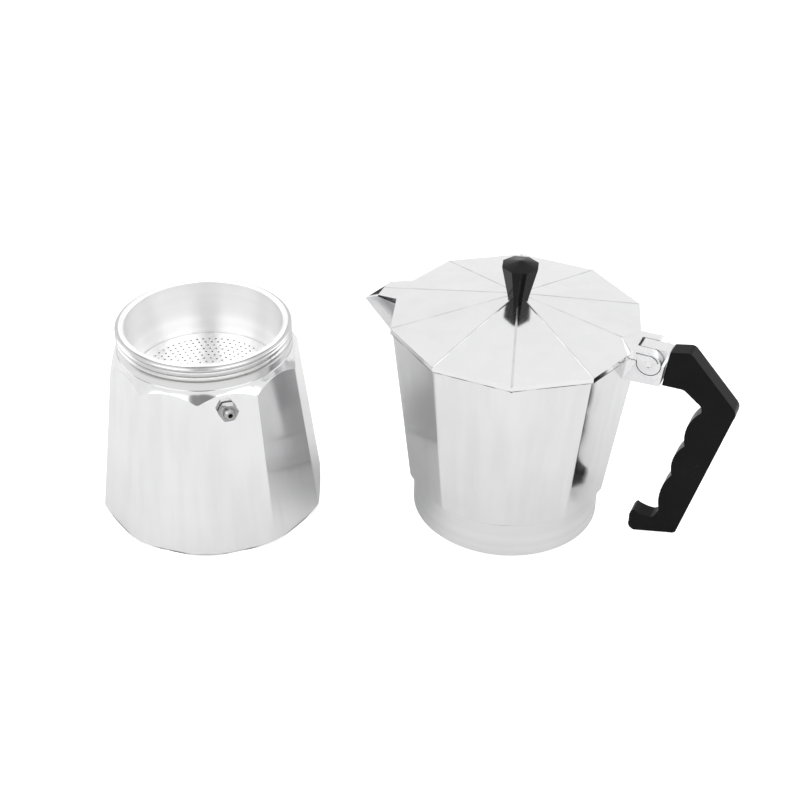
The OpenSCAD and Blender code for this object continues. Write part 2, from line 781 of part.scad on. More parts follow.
// The handle's outline: end face, top, back, hook, then the finger grips upwards
function handle_outline() =
    let (
        crest = [hinge_reach + 20.2, arm_top_z + 2.4],
        brow = [hinge_reach + 24, arm_top_z + 0.4],
        elbow_top = grip_point(50.2, 20.4),
        elbow_low = grip_point(50.9, elbow_drop),
        heel_back = grip_point(28.5, 115),
        heel_low = grip_point(25.2, 118.2),
        toe_low = grip_point(2.8, handle_drawn),
        toe_front = grip_point(-1.1, 118),
        hook_front = grip_point(-1.2, 113),
        hook_top = grip_point(1, 108.4),
        hook_back = grip_point(11.8, 110.6),
        grips = [grip_point(32.3, 27.9), grip_point(25.8, 53.3),
                 grip_point(20.8, 76), grip_point(16, 102.6)],
        throat = grip_point(29.2, 21.9),
        neck_back = grip_point(21.6, 16.1),
        neck_front = grip_point(19, 15.4)
    )
    concat(
        [[lug_end_low + 0.2, hinge_z - 15.6], [lug_end_high + 0.3, arm_top_z],
         [lug_end_high + 1, arm_top_z + 0.4], crest],
        bulge(crest, brow, 0.5, 4),
        [elbow_top],
        bulge(elbow_top, elbow_low, 1.1, 5),
        [heel_back],
        bulge(heel_back, heel_low, 0.9, 4),
        [toe_low],
        bulge(toe_low, toe_front, 1.6, 6),
        [hook_front],
        bulge(hook_front, hook_top, 0.5, 4),
        bulge(hook_top, hook_back, -0.8, 5),
        bulge(hook_back, grips[3], -1.6, 6),
        bulge(grips[3], grips[2], 2.9, 8),
        bulge(grips[2], grips[1], 3.2, 8),
        bulge(grips[1], grips[0], 3.6, 8),
        bulge(grips[0], throat, -1.2, 6),
        [neck_back],
        bulge(neck_back, neck_front, -0.2, 3)
    );

module handle() color([0.08, 0.08, 0.08]) at_jug() {
    difference() {
        union() {
            side_plate(handle_thickness, handle_outline());
            side_plate(tongue_thickness, [
                [tongue_inner, tongue_low], [tongue_end, tongue_low],
                [tongue_end, tongue_high], [tongue_inner, tongue_high]
            ]);
        }
        cross_bar(handle_pin_x, handle_pin_z, handle_pin_radius, 2 * lug_width);
    }
}

boiler();
funnel_basket();
basket_sieve();
funnel_stem();
valve_body();
valve_washer();
valve_seat();
valve_poppet();
valve_spring();
jug();
riser_column();
gasket();
filter_plate();
lid();
hinge_pin();
lid_knob();
knob_screw();
knob_washer();
handle();
handle_pin();
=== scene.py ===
import json
import math

import bmesh
import bpy
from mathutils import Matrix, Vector
from mathutils.geometry import intersect_point_line

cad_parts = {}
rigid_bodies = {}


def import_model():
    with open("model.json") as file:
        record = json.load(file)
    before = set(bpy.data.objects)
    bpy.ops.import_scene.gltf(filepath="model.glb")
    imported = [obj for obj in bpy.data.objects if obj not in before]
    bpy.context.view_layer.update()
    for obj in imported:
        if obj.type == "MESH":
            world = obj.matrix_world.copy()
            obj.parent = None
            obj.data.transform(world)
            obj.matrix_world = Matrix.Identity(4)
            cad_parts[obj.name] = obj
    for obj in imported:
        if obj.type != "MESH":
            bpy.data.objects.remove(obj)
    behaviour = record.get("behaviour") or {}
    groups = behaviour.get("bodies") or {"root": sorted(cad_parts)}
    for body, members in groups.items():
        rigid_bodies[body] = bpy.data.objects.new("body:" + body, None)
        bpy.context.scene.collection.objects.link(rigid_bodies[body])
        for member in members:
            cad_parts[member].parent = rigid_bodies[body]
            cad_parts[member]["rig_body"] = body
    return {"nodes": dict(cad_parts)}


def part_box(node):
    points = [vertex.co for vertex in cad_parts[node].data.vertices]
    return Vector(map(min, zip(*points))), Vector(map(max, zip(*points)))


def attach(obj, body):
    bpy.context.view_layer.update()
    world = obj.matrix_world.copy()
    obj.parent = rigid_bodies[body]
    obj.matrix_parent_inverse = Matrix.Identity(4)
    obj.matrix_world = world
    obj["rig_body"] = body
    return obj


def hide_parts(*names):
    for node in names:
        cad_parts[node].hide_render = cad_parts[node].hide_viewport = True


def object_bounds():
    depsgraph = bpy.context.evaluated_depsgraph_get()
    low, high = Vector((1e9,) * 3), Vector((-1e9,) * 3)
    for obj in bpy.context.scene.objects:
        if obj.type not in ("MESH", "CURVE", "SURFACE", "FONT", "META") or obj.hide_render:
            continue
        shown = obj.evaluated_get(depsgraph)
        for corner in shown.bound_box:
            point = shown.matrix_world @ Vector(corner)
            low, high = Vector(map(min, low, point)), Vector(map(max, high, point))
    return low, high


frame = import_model()
cadBox = [list(corner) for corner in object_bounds()]
nodes = frame["nodes"]
print("frame loaded:", len(nodes), "nodes")


def newGroup(name, inputs, outputs):
    group = bpy.data.node_groups.new(name, "ShaderNodeTree")
    for label, kind, value in inputs:
        socket = group.interface.new_socket(name=label, in_out="INPUT", socket_type=kind)
        if value is not None:
            socket.default_value = value
    for label, kind in outputs:
        group.interface.new_socket(name=label, in_out="OUTPUT", socket_type=kind)
    start = group.nodes.new("NodeGroupInput")
    end = group.nodes.new("NodeGroupOutput")
    return group, start, end


# Another node's output is linked to the socket, and a plain number or colour is set on it
def feed(tree, socket, value):
    if isinstance(value, bpy.types.NodeSocket):
        tree.links.new(value, socket)
    else:
        socket.default_value = value


def addMath(tree, operation, a, b=None, clamp=False):
    node = tree.nodes.new("ShaderNodeMath")
    node.operation = operation
    node.use_clamp = clamp
    feed(tree, node.inputs[0], a)
    if b is not None:
        feed(tree, node.inputs[1], b)
    return node.outputs[0]


def addRange(tree, value, fromLow, fromHigh, toLow, toHigh, smooth=False):
    node = tree.nodes.new("ShaderNodeMapRange")
    node.interpolation_type = "SMOOTHSTEP" if smooth else "LINEAR"
    tree.links.new(value, node.inputs["Value"])
    feed(tree, node.inputs["From Min"], fromLow)
    feed(tree, node.inputs["From Max"], fromHigh)
    feed(tree, node.inputs["To Min"], toLow)
    feed(tree, node.inputs["To Max"], toHigh)
    return node.outputs["Result"]


def addNoise(tree, vector, scale, detail=2.0, roughness=0.5):
    node = tree.nodes.new("ShaderNodeTexNoise")
    node.inputs["Detail"].default_value = detail
    node.inputs["Roughness"].default_value = roughness
    feed(tree, node.inputs["Scale"], scale)
    tree.links.new(vector, node.inputs["Vector"])
    return node.outputs["Fac"]


def addLength(tree, x, y):
    return addMath(tree, "SQRT", addMath(tree, "ADD", addMath(tree, "MULTIPLY", x, x),
                                         addMath(tree, "MULTIPLY", y, y)))


def addMix(tree, factor, first, second):
    node = tree.nodes.new("ShaderNodeMix")
    node.data_type = "RGBA"
    tree.links.new(factor, node.inputs["Factor"])
    low, high = [socket for socket in node.inputs if socket.type == "RGBA"]
    feed(tree, low, first)
    feed(tree, high, second)
    return next(socket for socket in node.outputs if socket.type == "RGBA")


# Pairs say where a mask begins and where it is full
brushValues = {
    "coarseScale": 0.16, "coarseHeight": 0.6, "streaks": (0.35, 0.68), "clouds": (0.3, 0.7),
}


# Fine marks drawn along one direction: stretched noise, and a slow tone change under it
def makeBrushedGrain():
    group, start, end = newGroup(
        "brushedGrain",
        [("Vector", "NodeSocketVector", None), ("Stretch", "NodeSocketVector", (1, 1, 0.02)),
         ("Scale", "NodeSocketFloat", 900.0), ("Cloud Scale", "NodeSocketFloat", 28.0)],
        [("Height", "NodeSocketFloat"), ("Streak", "NodeSocketFloat"), ("Cloud", "NodeSocketFloat")],
    )
    stretched = group.nodes.new("ShaderNodeVectorMath")
    stretched.operation = "MULTIPLY"
    group.links.new(start.outputs["Vector"], stretched.inputs[0])
    group.links.new(start.outputs["Stretch"], stretched.inputs[1])
    fine = addNoise(group, stretched.outputs[0], start.outputs["Scale"], 3.0, 0.6)
    coarseScale = addMath(group, "MULTIPLY", start.outputs["Scale"], brushValues["coarseScale"])
    coarse = addNoise(group, stretched.outputs[0], coarseScale, 2.0, 0.5)
    cloud = addNoise(group, start.outputs["Vector"], start.outputs["Cloud Scale"], 3.0, 0.55)
    height = addMath(group, "ADD", fine, addMath(group, "MULTIPLY", coarse, brushValues["coarseHeight"]))
    streaks = addRange(group, coarse, *brushValues["streaks"], 0.0, 1.0, True)
    clouds = addRange(group, cloud, *brushValues["clouds"], 0.0, 1.0, True)
    group.links.new(height, end.inputs["Height"])
    group.links.new(streaks, end.inputs["Streak"])
    group.links.new(clouds, end.inputs["Cloud"])
    return group


turningValues = {"broadScale": 0.12, "bands": (0.35, 0.65)}


# Rings left by turning: noise over radius and height, the same all the way round
def makeTurnedGrain():
    group, start, end = newGroup(
        "turnedGrain",
        [("Vector", "NodeSocketVector", None), ("Scale", "NodeSocketFloat", 1800.0)],
        [("Height", "NodeSocketFloat"), ("Band", "NodeSocketFloat")],
    )
    split = group.nodes.new("ShaderNodeSeparateXYZ")
    group.links.new(start.outputs["Vector"], split.inputs[0])
    ring = group.nodes.new("ShaderNodeCombineXYZ")
    group.links.new(addLength(group, split.outputs["X"], split.outputs["Y"]), ring.inputs["X"])
    group.links.new(split.outputs["Z"], ring.inputs["Y"])
    fine = addNoise(group, ring.outputs[0], start.outputs["Scale"], 2.0, 0.7)
    broadScale = addMath(group, "MULTIPLY", start.outputs["Scale"], turningValues["broadScale"])
    broad = addNoise(group, ring.outputs[0], broadScale, 1.0)
    group.links.new(fine, end.inputs["Height"])
    group.links.new(addRange(group, broad, *turningValues["bands"], 0.0, 1.0, True), end.inputs["Band"])
    return group


scratchValues = {
    "directions": [((0.4, 0.2, 0.9), (1, 14, 3)), ((1.1, 0.7, 0.3), (9, 1, 5))],  # turn and stretch
    "lines": (0.70, 0.76), "patchScale": 22.0, "patches": (0.45, 0.62),
}


# Sparse short scratches and specks from handling
def makeHandlingMarks():
    group, start, end = newGroup(
        "handlingMarks",
        [("Vector", "NodeSocketVector", None), ("Scale", "NodeSocketFloat", 60.0),
         ("Amount", "NodeSocketFloat", 0.5)],
        [("Mask", "NodeSocketFloat")],
    )
    masks = []
    for turn, stretch in scratchValues["directions"]:
        mapping = group.nodes.new("ShaderNodeMapping")
        mapping.inputs["Rotation"].default_value = turn
        mapping.inputs["Scale"].default_value = stretch
        group.links.new(start.outputs["Vector"], mapping.inputs["Vector"])
        marks = addNoise(group, mapping.outputs[0], start.outputs["Scale"], 1.0, 0.4)
        masks.append(addRange(group, marks, *scratchValues["lines"], 0.0, 1.0, True))
    either = addMath(group, "MAXIMUM", masks[0], masks[1])
    patches = addNoise(group, start.outputs["Vector"], scratchValues["patchScale"], 2.0)
    worn = addRange(group, patches, *scratchValues["patches"], 0.0, 1.0, True)
    mask = addMath(group, "MULTIPLY", addMath(group, "MULTIPLY", either, worn), start.outputs["Amount"])
    group.links.new(mask, end.inputs["Mask"])
    return group


mouldValues = {"softScale": 0.5, "mottleScale": 45.0, "mottle": (0.3, 0.7)}


# Small even bumps of a moulded or cast skin
def makeMouldedSkin():
    group, start, end = newGroup(
        "mouldedSkin",
        [("Vector", "NodeSocketVector", None), ("Scale", "NodeSocketFloat", 1400.0)],
        [("Height", "NodeSocketFloat"), ("Mottle", "NodeSocketFloat")],
    )
    cells = group.nodes.new("ShaderNodeTexVoronoi")
    cells.feature = "SMOOTH_F1"
    group.links.new(start.outputs["Vector"], cells.inputs["Vector"])
    group.links.new(start.outputs["Scale"], cells.inputs["Scale"])
    softScale = addMath(group, "MULTIPLY", start.outputs["Scale"], mouldValues["softScale"])
    soft = addNoise(group, start.outputs["Vector"], softScale, 2.0)
    broad = addNoise(group, start.outputs["Vector"], mouldValues["mottleScale"], 3.0)
    group.links.new(addMath(group, "ADD", cells.outputs["Distance"], soft), end.inputs["Height"])
    group.links.new(addRange(group, broad, *mouldValues["mottle"], 0.0, 1.0, True), end.inputs["Mottle"])
    return group


# Each of the ten faces swells a little across its width, as polished castings do
def makeFaceCrown():
    group, start, end = newGroup(
        "faceCrown",
        [("Vector", "NodeSocketVector", None), ("Sector", "NodeSocketFloat", math.radians(36)),
         ("Crown", "NodeSocketFloat", 1.0)],
        [("Height", "NodeSocketFloat")],
    )
    split = group.nodes.new("ShaderNodeSeparateXYZ")
    group.links.new(start.outputs["Vector"], split.inputs[0])
    x, y = split.outputs["X"], split.outputs["Y"]
    radius = addLength(group, x, y)
    sector = start.outputs["Sector"]
    turn = addMath(group, "ARCTAN2", y, x)
    part = addMath(group, "FLOORED_MODULO", turn, sector)
    middle = addMath(group, "SUBTRACT", part, addMath(group, "MULTIPLY", sector, 0.5))
    across = addMath(group, "MULTIPLY", addMath(group, "SINE", middle), radius)
    drop = addMath(group, "MULTIPLY", addMath(group, "MULTIPLY", across, across), start.outputs["Crown"])
    group.links.new(addMath(group, "SUBTRACT", 0.0, drop), end.inputs["Height"])
    return group


# How the painted shade along a lower edge fades upward, and how it breaks up
edgeShadeValues = {"fade": (0.5, 1.2), "gaps": (0.36, 0.52), "least": 0.25}


# Painted shade along a lower edge, where a part meets the floor or the piece below it: dark under the edge
# and in a thin broken line just above it
def makePaintedEdgeShade():
    group, start, end = newGroup(
        "paintedEdgeShade",
        [("Vector", "NodeSocketVector", None), ("Foot", "NodeSocketFloat", 0.0),
         ("Reach", "NodeSocketFloat", 0.0004), ("Breaks", "NodeSocketFloat", 120.0)],
        [("Mask", "NodeSocketFloat")],
    )
    split = group.nodes.new("ShaderNodeSeparateXYZ")
    group.links.new(start.outputs["Vector"], split.inputs[0])
    above = addMath(group, "SUBTRACT", split.outputs["Z"], start.outputs["Foot"])
    reaches = addMath(group, "DIVIDE", above, start.outputs["Reach"])
    near = addRange(group, reaches, *edgeShadeValues["fade"], 1.0, 0.0, True)
    gaps = addNoise(group, start.outputs["Vector"], start.outputs["Breaks"], 2.0)
    broken = addRange(group, gaps, *edgeShadeValues["gaps"], edgeShadeValues["least"], 1.0, True)
    group.links.new(addMath(group, "MULTIPLY", near, broken), end.inputs["Mask"])
    return group


groups = {
    "brushed": makeBrushedGrain(),
    "turned": makeTurnedGrain(),
    "marks": makeHandlingMarks(),
    "skin": makeMouldedSkin(),
    "crown": makeFaceCrown(),
    "edgeShade": makePaintedEdgeShade(),
}


def startMaterial(name):
    material = bpy.data.materials.new(name)
    material.use_nodes = True
    tree = material.node_tree
    coords = tree.nodes.new("ShaderNodeTexCoord")
    return material, tree, tree.nodes["Principled BSDF"], coords.outputs["Object"]


def addGroup(tree, key, vector, **values):
    node = tree.nodes.new("ShaderNodeGroup")
    node.node_tree = groups[key]
    tree.links.new(vector, node.inputs["Vector"])
    for label, value in values.items():
        node.inputs[label.replace("_", " ")].default_value = value
    return node


def addCentre(tree, vector, centre, angle=0.0):
    node = tree.nodes.new("ShaderNodeMapping")
    node.vector_type = "TEXTURE"
    node.inputs["Location"].default_value = (centre[0], centre[1], 0)
    node.inputs["Rotation"].default_value = (0, 0, angle)
    tree.links.new(vector, node.inputs["Vector"])
    return node.outputs[0]


def addTwoTone(tree, factor, first, second):
    return addMix(tree, factor, (*first, 1), (*second, 1))


def addBump(tree, shader, height, strength, distance, under=None):
    node = tree.nodes.new("ShaderNodeBump")
    node.inputs["Strength"].default_value = strength
    node.inputs["Distance"].default_value = distance
    tree.links.new(height, node.inputs["Height"])
    if under is not None:
        tree.links.new(under, node.inputs["Normal"])
    tree.links.new(node.outputs[0], shader.inputs["Normal"])
    return node.outputs[0]


# Darkens a metal's tone with painted shade along its lower edge, where the values ask for it
def addPaintedEdgeShade(tree, vector, tone, values):
    if "foot" not in values:
        return tone
    edgeShade = addGroup(tree, "edgeShade", vector, Foot=values["foot"], Reach=values["reach"],
                     Breaks=values["breaks"])
    return addMix(tree, edgeShade.outputs["Mask"], tone, (*values["edgeShade"], 1))


# How much each pattern counts towards the darker and duller tone of a finish
toneValues = {"streak": 0.55, "cloud": 0.45, "band": 0.7, "mottle": 0.5, "scratch": 0.8}


def addShare(tree, value, share):
    return addMath(tree, "MULTIPLY", value, toneValues[share])


def makeBrushedMetal(name, values):
    material, tree, shader, vector = startMaterial(name)
    grain = addGroup(tree, "brushed", vector, Stretch=values["stretch"], Scale=values["scale"],
                     Cloud_Scale=values["cloudScale"])
    marks = addGroup(tree, "marks", vector, Scale=values["markScale"], Amount=values["marks"])
    tone = addMath(tree, "ADD", addShare(tree, grain.outputs["Streak"], "streak"),
                   addShare(tree, grain.outputs["Cloud"], "cloud"))
    worn = addMath(tree, "ADD", tone, addShare(tree, marks.outputs["Mask"], "scratch"), clamp=True)
    colour = addPaintedEdgeShade(tree, vector, addTwoTone(tree, worn, values["light"], values["dark"]), values)
    tree.links.new(colour, shader.inputs["Base Color"])
    tree.links.new(addRange(tree, worn, 0, 1, values["roughLow"], values["roughHigh"]),
                   shader.inputs["Roughness"])
    height = addMath(tree, "SUBTRACT", grain.outputs["Height"], marks.outputs["Mask"])
    under = None
    if "crown" in values:
        around = addCentre(tree, vector, values["centre"], values["corner"])
        faces = addGroup(tree, "crown", around, Crown=values["crown"])
        under = addBump(tree, shader, faces.outputs["Height"], 1.0, 1.0)  # its height is in metres
    addBump(tree, shader, height, values["bump"], values["depth"], under)
    shader.inputs["Metallic"].default_value = 1
    return material


def makeTurnedMetal(name, centre, values):
    material, tree, shader, vector = startMaterial(name)
    axial = addCentre(tree, vector, centre)
    grain = addGroup(tree, "turned", axial, Scale=values["scale"])
    marks = addGroup(tree, "marks", vector, Scale=values["markScale"], Amount=values["marks"])
    tone = addMath(tree, "ADD", addShare(tree, grain.outputs["Band"], "band"),
                   addShare(tree, marks.outputs["Mask"], "scratch"), clamp=True)
    tree.links.new(addTwoTone(tree, tone, values["light"], values["dark"]), shader.inputs["Base Color"])
    tree.links.new(addRange(tree, tone, 0, 1, values["roughLow"], values["roughHigh"]),
                   shader.inputs["Roughness"])
    height = addMath(tree, "SUBTRACT", grain.outputs["Height"], marks.outputs["Mask"])
    addBump(tree, shader, height, values["bump"], values["depth"])
    shader.inputs["Metallic"].default_value = values.get("metal", 1)
    return material


def makeMoulded(name, values):
    material, tree, shader, vector = startMaterial(name)
    skin = addGroup(tree, "skin", vector, Scale=values["scale"])
    marks = addGroup(tree, "marks", vector, Scale=values["markScale"], Amount=values["marks"])
    tone = addMath(tree, "ADD", addShare(tree, skin.outputs["Mottle"], "mottle"),
                   marks.outputs["Mask"], clamp=True)
    tree.links.new(addTwoTone(tree, tone, values["light"], values["dark"]), shader.inputs["Base Color"])
    tree.links.new(addRange(tree, tone, 0, 1, values["roughLow"], values["roughHigh"]),
                   shader.inputs["Roughness"])
    addBump(tree, shader, skin.outputs["Height"], values["bump"], values["depth"])
    shader.inputs["Specular IOR Level"].default_value = values["gloss"]
    return material


def middleOf(name):
    low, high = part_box(name)
    return (low[0] + high[0]) / 2, (low[1] + high[1]) / 2


boilerAxis = (0, 0)
jugAxis = middleOf("gasket")

# Lengths in metres, and pattern scales in cells to the metre
facetValues = {
    "light": (0.80, 0.80, 0.805), "dark": (0.74, 0.74, 0.745), "roughLow": 0.10, "roughHigh": 0.17,
    "scale": 900.0, "stretch": (1, 1, 0.02), "cloudScale": 24.0, "markScale": 90.0, "marks": 0.25,
    "bump": 0.10, "depth": 0.00004,
    # Painted shade along the foot, where the boiler stands on the floor: its height, reach, breaks and dark
    # tone; and how much each face swells
    "foot": 0.0, "reach": 0.0009, "breaks": 60.0, "edgeShade": (0.16, 0.15, 0.145), "crown": 0.5,
}
lidValues = {
    "light": (0.83, 0.83, 0.835), "dark": (0.79, 0.79, 0.795), "roughLow": 0.09, "roughHigh": 0.14,
    "scale": 500.0, "stretch": (1, 1, 0.3), "cloudScale": 20.0, "markScale": 110.0, "marks": 0.2,
    "bump": 0.05, "depth": 0.00003,
    # Painted shade along the lid's lower edge, in the gap where it sits on the jug: its height, reach,
    # breaks and dark tone
    "foot": 0.1316, "reach": 0.0006, "breaks": 70.0, "edgeShade": (0.20, 0.19, 0.18),
}
ridgeValues = {
    "light": (0.70, 0.70, 0.705), "dark": (0.58, 0.58, 0.585), "roughLow": 0.10, "roughHigh": 0.18,
    "scale": 500.0, "stretch": (1, 1, 1), "cloudScale": 80.0, "markScale": 110.0, "marks": 0.4,
    "bump": 0.05, "depth": 0.00003,
}
castValues = {
    "light": (0.82, 0.82, 0.825), "dark": (0.72, 0.72, 0.73), "roughLow": 0.26, "roughHigh": 0.38,
    "scale": 420.0, "stretch": (1, 1, 1), "cloudScale": 60.0, "markScale": 120.0, "marks": 0.3,
    "bump": 0.15, "depth": 0.00006,
}
collarValues = {
    "light": (0.80, 0.80, 0.805), "dark": (0.75, 0.75, 0.755), "roughLow": 0.16, "roughHigh": 0.22,
    "scale": 1700.0, "markScale": 100.0, "marks": 0.25, "bump": 0.12, "depth": 0.00004,
}
sheetValues = {
    "metal": 0.8,
    "light": (0.90, 0.90, 0.90), "dark": (0.82, 0.82, 0.82), "roughLow": 0.28, "roughHigh": 0.38,
    "scale": 1300.0, "markScale": 90.0, "marks": 0.3, "bump": 0.15, "depth": 0.00004,
}
pinValues = {
    "light": (0.82, 0.82, 0.82), "dark": (0.70, 0.70, 0.70), "roughLow": 0.16, "roughHigh": 0.26,
    "scale": 900.0, "stretch": (1, 1, 1), "cloudScale": 240.0, "markScale": 160.0, "marks": 0.4,
    "bump": 0.15, "depth": 0.00004,
}
neckValues = {
    "light": (0.70, 0.70, 0.705), "dark": (0.56, 0.56, 0.565), "roughLow": 0.14, "roughHigh": 0.24,
    "scale": 1700.0, "markScale": 100.0, "marks": 0.5, "bump": 0.16, "depth": 0.00005,
}
# Painted shade in the floors of the neck's thread grooves: a much darker tone and dense marks
grooveValues = {
    "light": (0.62, 0.62, 0.62), "dark": (0.20, 0.19, 0.18), "roughLow": 0.2, "roughHigh": 0.4,
    "scale": 900.0, "markScale": 60.0, "marks": 1.0, "bump": 0.2, "depth": 0.00005,
}
steelValues = {
    "light": (0.42, 0.42, 0.42), "dark": (0.28, 0.28, 0.28), "roughLow": 0.18, "roughHigh": 0.34,
    "scale": 900.0, "stretch": (1, 1, 1), "cloudScale": 240.0, "markScale": 160.0, "marks": 0.5,
    "bump": 0.2, "depth": 0.00005,
}
brassValues = {
    "light": (0.78, 0.58, 0.26), "dark": (0.58, 0.42, 0.18), "roughLow": 0.2, "roughHigh": 0.36,
    "scale": 900.0, "stretch": (1, 1, 1), "cloudScale": 200.0, "markScale": 160.0, "marks": 0.4,
    "bump": 0.2, "depth": 0.00004,
}
plasticValues = {
    "light": (0.004, 0.004, 0.0045), "dark": (0.007, 0.007, 0.0075), "roughLow": 0.22, "roughHigh": 0.32,
    "scale": 1500.0, "markScale": 90.0, "marks": 0.4, "bump": 0.08, "depth": 0.00005, "gloss": 0.09,
}
knobValues = {**plasticValues, "gloss": 0.15, "roughLow": 0.12, "roughHigh": 0.2}
rubberValues = {
    "light": (0.78, 0.76, 0.71), "dark": (0.66, 0.63, 0.57), "roughLow": 0.55, "roughHigh": 0.7,
    "scale": 900.0, "markScale": 90.0, "marks": 0.3, "bump": 0.2, "depth": 0.0001, "gloss": 0.4,
}
fibreValues = {
    "light": (0.10, 0.085, 0.075), "dark": (0.06, 0.05, 0.045), "roughLow": 0.6, "roughHigh": 0.8,
    "scale": 2200.0, "markScale": 90.0, "marks": 0.2, "bump": 0.4, "depth": 0.0001, "gloss": 0.3,
}
# The two facet finishes are told where one of their ten corners stands
looks = {
    "boilerFacet": makeBrushedMetal("boilerFacetAluminium", {
        **facetValues, "centre": boilerAxis, "corner": math.radians(-86.3)}),
    "jugFacet": makeBrushedMetal("jugFacetAluminium", {
        **facetValues, "centre": jugAxis, "corner": math.radians(-21.6)}),
    "lid": makeBrushedMetal("lidAluminium", lidValues),
    "ridge": makeBrushedMetal("ridgeAluminium", ridgeValues),
    "cast": makeBrushedMetal("castAluminium", castValues),
    "jugCollar": makeTurnedMetal("jugCollarAluminium", jugAxis, collarValues),
    "neck": makeTurnedMetal("neckAluminium", boilerAxis, neckValues),
    "groove": makeTurnedMetal("grooveAluminium", boilerAxis, grooveValues),
    "sheet": makeTurnedMetal("funnelAluminium", boilerAxis, sheetValues),
    "filter": makeTurnedMetal("filterAluminium", jugAxis, sheetValues),
    "pin": makeBrushedMetal("pinAluminium", pinValues),
    "steel": makeBrushedMetal("turnedSteel", steelValues),
    "brass": makeBrushedMetal("turnedBrass", brassValues),
    "plastic": makeMoulded("blackPlastic", plasticValues),
    "knob": makeMoulded("glossyPlastic", knobValues),
    "rubber": makeMoulded("gasketRubber", rubberValues),
    "fibre": makeMoulded("washerFibre", fibreValues),
}
print("finishes made:", len(looks))


# Finishes, widths in metres of rounded edges, and the part's material slot
pieces = {
    "boiler": {"looks": ["boilerFacet", "neck", "groove"], "round": 0.0004, "arris": 0.0008,
               "slot": "cast_aluminium"},
    "funnel_basket": {"looks": ["sheet"], "round": 0.00015, "slot": "sheet_aluminium"},
    "basket_sieve": {"looks": ["sheet"], "round": 0, "slot": "sheet_aluminium"},
    "funnel_stem": {"looks": ["sheet"], "round": 0.0002, "slot": "sheet_aluminium"},
    "valve_body": {"looks": ["steel"], "round": 0.0003, "slot": "steel"},
    "valve_washer": {"looks": ["fibre"], "round": 0.00015, "slot": "fibre"},
    "valve_seat": {"looks": ["brass"], "round": 0.0001, "slot": "brass"},
    "valve_poppet": {"looks": ["brass"], "round": 0.0001, "slot": "brass"},
    "valve_spring": {"looks": ["steel"], "round": 0, "slot": "steel"},
    "jug": {"looks": ["jugFacet", "jugCollar", "cast"], "round": 0.0003, "arris": 0.0013,
            "slot": "cast_aluminium"},
    "riser_column": {"looks": ["cast"], "round": 0.0004, "slot": "cast_aluminium"},
    "gasket": {"looks": ["rubber"], "round": 0.0003, "slot": "rubber"},
    "filter_plate": {"looks": ["filter"], "round": 0, "slot": "sheet_aluminium"},
    "lid": {"looks": ["lid", "cast", "ridge"], "round": 0.0003, "ridge": 0.0007, "lift": 0.00019,
            "slot": "cast_aluminium"},
    "hinge_pin": {"looks": ["pin"], "round": 0.0003, "slot": "sheet_aluminium"},
    "lid_knob": {"looks": ["knob"], "round": 0.0003, "slot": "black_plastic"},
    "knob_screw": {"looks": ["steel"], "round": 0.0002, "slot": "steel"},
    "knob_washer": {"looks": ["steel"], "round": 0.0001, "slot": "steel"},
    "handle": {"looks": ["plastic"], "round": 0.0009, "slot": "black_plastic"},
    "handle_pin": {"looks": ["pin"], "round": 0.0002, "slot": "sheet_aluminium"},
}
# Metres and degrees
shellValues = {
    "merge": 0.000002, "flatAngle": 0.4, "crowded": 12, "sharpAngle": 24, "segments": 3, "evenWeight": 60,
}
ridgeShape = {"segments": 6, "leastRise": 0.9, "leastAngle": 2}
arrisShape = {"segments": 4, "leastLength": 0.05, "leastRise": 0.9, "leastAngle": 25, "mostAngle": 45}


def bodyOf(name):
    return nodes[name]["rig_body"]


# A copy of a node with clean faces, so its edges can be rounded
def copyNode(name):
    mesh = bpy.data.meshes.new(name + "_shell")
    bm = bmesh.new()
    bm.from_mesh(nodes[name].data)
    bmesh.ops.remove_doubles(bm, verts=bm.verts, dist=shellValues["merge"])
    bmesh.ops.dissolve_degenerate(bm, edges=bm.edges, dist=shellValues["merge"])
    bmesh.ops.dissolve_limit(bm, angle_limit=math.radians(shellValues["flatAngle"]), verts=bm.verts,
                             edges=bm.edges)
    # The bevel leaves holes in faces with very many corners, so those are split
    crowded = [face for face in bm.faces if len(face.verts) > shellValues["crowded"]]
    bmesh.ops.triangulate(bm, faces=crowded, quad_method="BEAUTY", ngon_method="EAR_CLIP")
    bm.to_mesh(mesh)
    bm.free()
    piece = bpy.data.objects.new(name + "_shell", mesh)
    bpy.context.scene.collection.objects.link(piece)
    return piece


def finishPiece(piece, name, values):
    for look in values["looks"]:
        piece.data.materials.append(looks[look])
    piece.data.shade_smooth()
    bevel = piece.modifiers.new("roundedEdges", "BEVEL")
    bevel.limit_method = "ANGLE"
    bevel.angle_limit = math.radians(shellValues["sharpAngle"])
    bevel.width = values["round"]
    bevel.segments = shellValues["segments"]
    bevel.use_clamp_overlap = True
    even = piece.modifiers.new("flatFaces", "WEIGHTED_NORMAL")
    even.weight = shellValues["evenWeight"]
    even.keep_sharp = False
    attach(piece, bodyOf(name))
    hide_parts(name)


